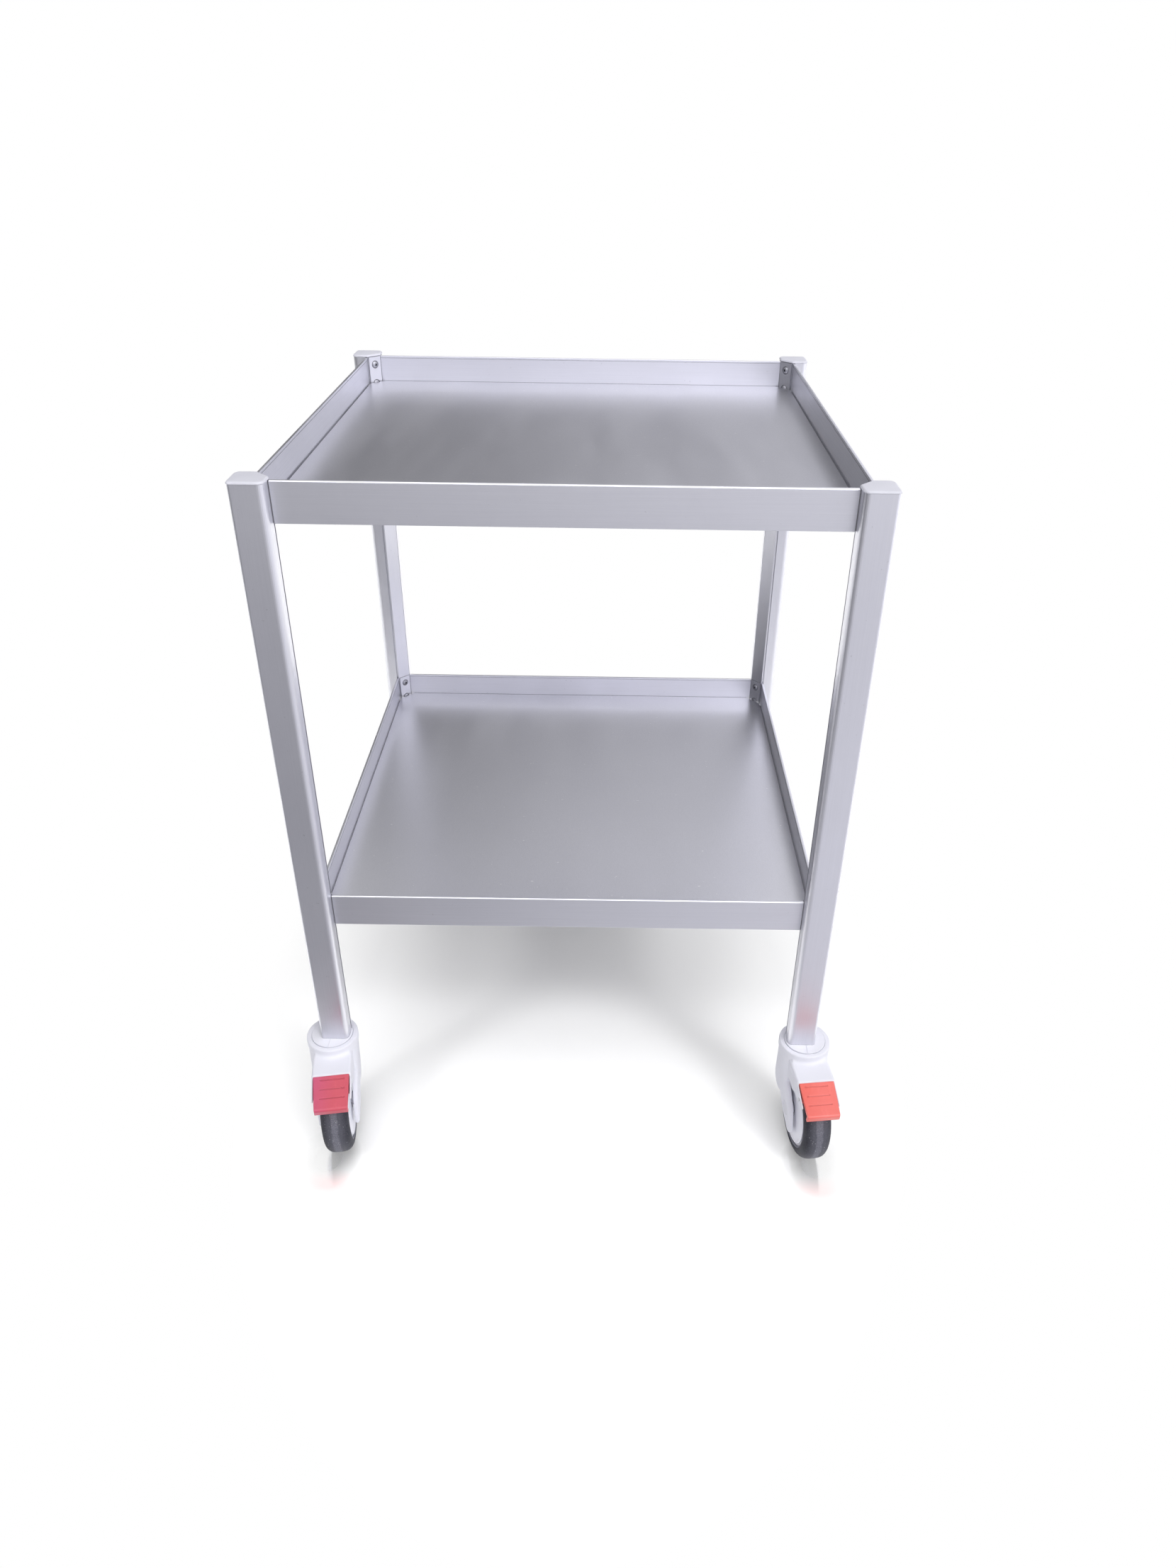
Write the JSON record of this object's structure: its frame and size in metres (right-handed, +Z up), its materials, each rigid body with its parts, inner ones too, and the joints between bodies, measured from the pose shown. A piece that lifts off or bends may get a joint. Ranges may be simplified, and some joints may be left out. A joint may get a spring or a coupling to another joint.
{
  "type": "medical utility trolley",
  "caption": "Medical utility trolley: railed aluminium trays on grooved corner posts, swivel casters with moulded forks, foot brakes at the front.",
  "frame": {"origin": "on the floor, under the middle of the box round the whole trolley with its casters as at rest", "axes": "+X to the trolley's right as seen from its front, +Y from front to back, +Z up"},
  "size_m": [0.6418, 0.7109, 0.8196],
  "materials": {
    "satin_aluminium": "satin anodised",
    "tray_sheet": "satin anodised sheet",
    "cap_plastic": "fine matt moulding",
    "screw_steel": "satin steel",
    "plated_steel": "zinc plated",
    "fork_plastic": "smooth satin moulding",
    "wheel_plastic": "smooth moulding",
    "tyre": "smooth, worn lighter along the middle",
    "pedal_crimson": "smooth satin moulding",
    "pedal_coral": "smooth satin moulding"
  },
  "bodies": {
    "frame": {"post_fl": "satin_aluminium", "post_fr": "satin_aluminium", "post_rl": "satin_aluminium", "post_rr": "satin_aluminium", "cap_fl": "cap_plastic", "cap_fr": "cap_plastic", "cap_rl": "cap_plastic", "cap_rr": "cap_plastic", "rail_top_front": "satin_aluminium", "rail_top_back": "satin_aluminium", "rail_top_left": "satin_aluminium", "rail_top_right": "satin_aluminium", "rail_low_front": "satin_aluminium", "rail_low_back": "satin_aluminium", "rail_low_left": "satin_aluminium", "rail_low_right": "satin_aluminium", "tray_top": "tray_sheet", "tray_low": "tray_sheet", "clamps_top": "satin_aluminium", "clamps_low": "satin_aluminium", "corner_screws": "screw_steel", "nut_bars": "plated_steel", "collar_fl": "fork_plastic", "collar_fr": "fork_plastic", "collar_rl": "fork_plastic", "collar_rr": "fork_plastic", "stem_fl": "plated_steel", "stem_fr": "plated_steel", "stem_rl": "plated_steel", "stem_rr": "plated_steel"},
    "fork_fl": {"housing_fl": "fork_plastic", "axle_fl": "plated_steel", "pedal_pins_fl": "plated_steel"},
    "wheel_fl": {"rim_fl": "wheel_plastic", "guards_fl": "wheel_plastic", "tyre_fl": "tyre", "bearings_fl": "plated_steel"},
    "fork_fr": {"housing_fr": "fork_plastic", "axle_fr": "plated_steel", "pedal_pins_fr": "plated_steel"},
    "wheel_fr": {"rim_fr": "wheel_plastic", "guards_fr": "wheel_plastic", "tyre_fr": "tyre", "bearings_fr": "plated_steel"},
    "fork_rl": {"housing_rl": "fork_plastic", "axle_rl": "plated_steel"},
    "wheel_rl": {"rim_rl": "wheel_plastic", "guards_rl": "wheel_plastic", "tyre_rl": "tyre", "bearings_rl": "plated_steel"},
    "fork_rr": {"housing_rr": "fork_plastic", "axle_rr": "plated_steel"},
    "wheel_rr": {"rim_rr": "wheel_plastic", "guards_rr": "wheel_plastic", "tyre_rr": "tyre", "bearings_rr": "plated_steel"},
    "brake_pedal_fl": {"pedal_fl": "pedal_crimson"},
    "brake_pedal_fr": {"pedal_fr": "pedal_coral"}
  },
  "joints": [
    {"name": "swivel_fl", "type": "hinge", "parent": "frame", "child": "fork_fl", "pos_m": [-0.28979, -0.25325, 0.13], "axis": [0, 0, 1], "continuous": true},
    {"name": "swivel_fr", "type": "hinge", "parent": "frame", "child": "fork_fr", "pos_m": [0.28862, -0.25325, 0.13], "axis": [0, 0, 1], "continuous": true},
    {"name": "swivel_rl", "type": "hinge", "parent": "frame", "child": "fork_rl", "pos_m": [-0.28979, 0.32515, 0.13], "axis": [0, 0, 1], "continuous": true},
    {"name": "swivel_rr", "type": "hinge", "parent": "frame", "child": "fork_rr", "pos_m": [0.28862, 0.32515, 0.13], "axis": [0, 0, 1], "continuous": true},
    {"name": "spin_fl", "type": "hinge", "parent": "fork_fl", "child": "wheel_fl", "pos_m": [-0.28409, -0.2888, 0.0625], "axis": [0.9874, 0.1582, 0], "continuous": true},
    {"name": "spin_fr", "type": "hinge", "parent": "fork_fr", "child": "wheel_fr", "pos_m": [0.29275, -0.28901, 0.0625], "axis": [0.9934, 0.1149, 0], "continuous": true},
    {"name": "spin_rl", "type": "hinge", "parent": "fork_rl", "child": "wheel_rl", "pos_m": [-0.2849, 0.28948, 0.0625], "axis": [0.9907, 0.1357, 0], "continuous": true},
    {"name": "spin_rr", "type": "hinge", "parent": "fork_rr", "child": "wheel_rr", "pos_m": [0.2935, 0.28948, 0.0625], "axis": [0.9907, 0.1357, 0], "continuous": true},
    {"name": "brake_fl", "type": "hinge", "parent": "fork_fl", "child": "brake_pedal_fl", "pos_m": [-0.27871, -0.32237, 0.113], "axis": [0.9874, 0.1582, 0], "range_deg": [0, 15]},
    {"name": "brake_fr", "type": "hinge", "parent": "fork_fr", "child": "brake_pedal_fr", "pos_m": [0.29666, -0.32279, 0.113], "axis": [0.9934, 0.1149, 0], "range_deg": [0, 15]}
  ]
}
